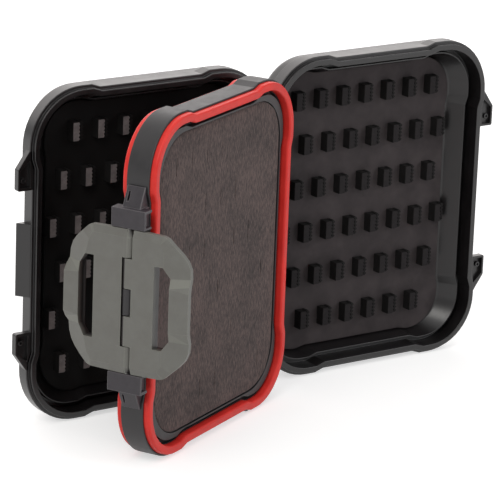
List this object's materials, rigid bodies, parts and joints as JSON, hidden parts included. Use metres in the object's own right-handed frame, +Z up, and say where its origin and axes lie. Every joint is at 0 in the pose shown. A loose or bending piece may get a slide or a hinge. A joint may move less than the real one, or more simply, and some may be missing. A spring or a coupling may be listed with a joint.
{
  "type": "jig box",
  "caption": "Pocket jig and fly case of two tray shells and a foam page on one hinge line, with slotted post inserts, ring gaskets and a folding two-wing latch.",
  "frame": {"origin": "centre of the overall bounding box in plan, at the level the standing box rests on", "axes": "+Z up, along the hinge line; +X along the opened shells from the left one to the right one; the shells' open sides and the page face -Y"},
  "size_m": [0.2659, 0.1114, 0.153],
  "materials": {
    "shell_black": "semi-gloss moulded, charcoal",
    "insert_dark": "matt soft moulded rubber",
    "frame_black": "satin moulded, dark grey",
    "gasket_red": "satin silicone rubber",
    "foam_grey": "closed-cell foam sheet, warm grey",
    "pin_steel": "drawn",
    "wing_grey_green": "satin moulded, grey-green"
  },
  "bodies": {
    "page": {"page_frame": "frame_black", "left_gasket": "gasket_red", "right_gasket": "gasket_red", "left_foam": "foam_grey", "right_foam": "foam_grey", "upper_hinge_pin": "pin_steel", "lower_hinge_pin": "pin_steel", "latch_pin": "pin_steel", "upper_latch_mount": "frame_black", "lower_latch_mount": "frame_black"},
    "left_half": {"left_shell": "shell_black", "left_insert": "insert_dark"},
    "right_half": {"right_shell": "shell_black", "right_insert": "insert_dark"},
    "left_wing": {"left_latch_wing": "wing_grey_green"},
    "right_wing": {"right_latch_wing": "wing_grey_green"}
  },
  "joints": [
    {"name": "left_shell_hinge", "type": "hinge", "parent": "page", "child": "left_half", "pos_m": [0.00034, 0.03054, 0.0765], "axis": [0, 0, 1], "range_deg": [-3, 26.06]},
    {"name": "right_shell_hinge", "type": "hinge", "parent": "page", "child": "right_half", "pos_m": [0.00034, 0.03054, 0.0765], "axis": [0, 0, -1], "range_deg": [-3, 153.94]},
    {"name": "left_wing_hinge", "type": "hinge", "parent": "page", "child": "left_wing", "pos_m": [-0.11761, -0.02714, 0.0765], "axis": [0, 0, 1], "range_deg": [-5, 24]},
    {"name": "right_wing_hinge", "type": "hinge", "parent": "page", "child": "right_wing", "pos_m": [-0.11761, -0.02714, 0.0765], "axis": [0, 0, -1], "range_deg": [-5, 24]}
  ]
}
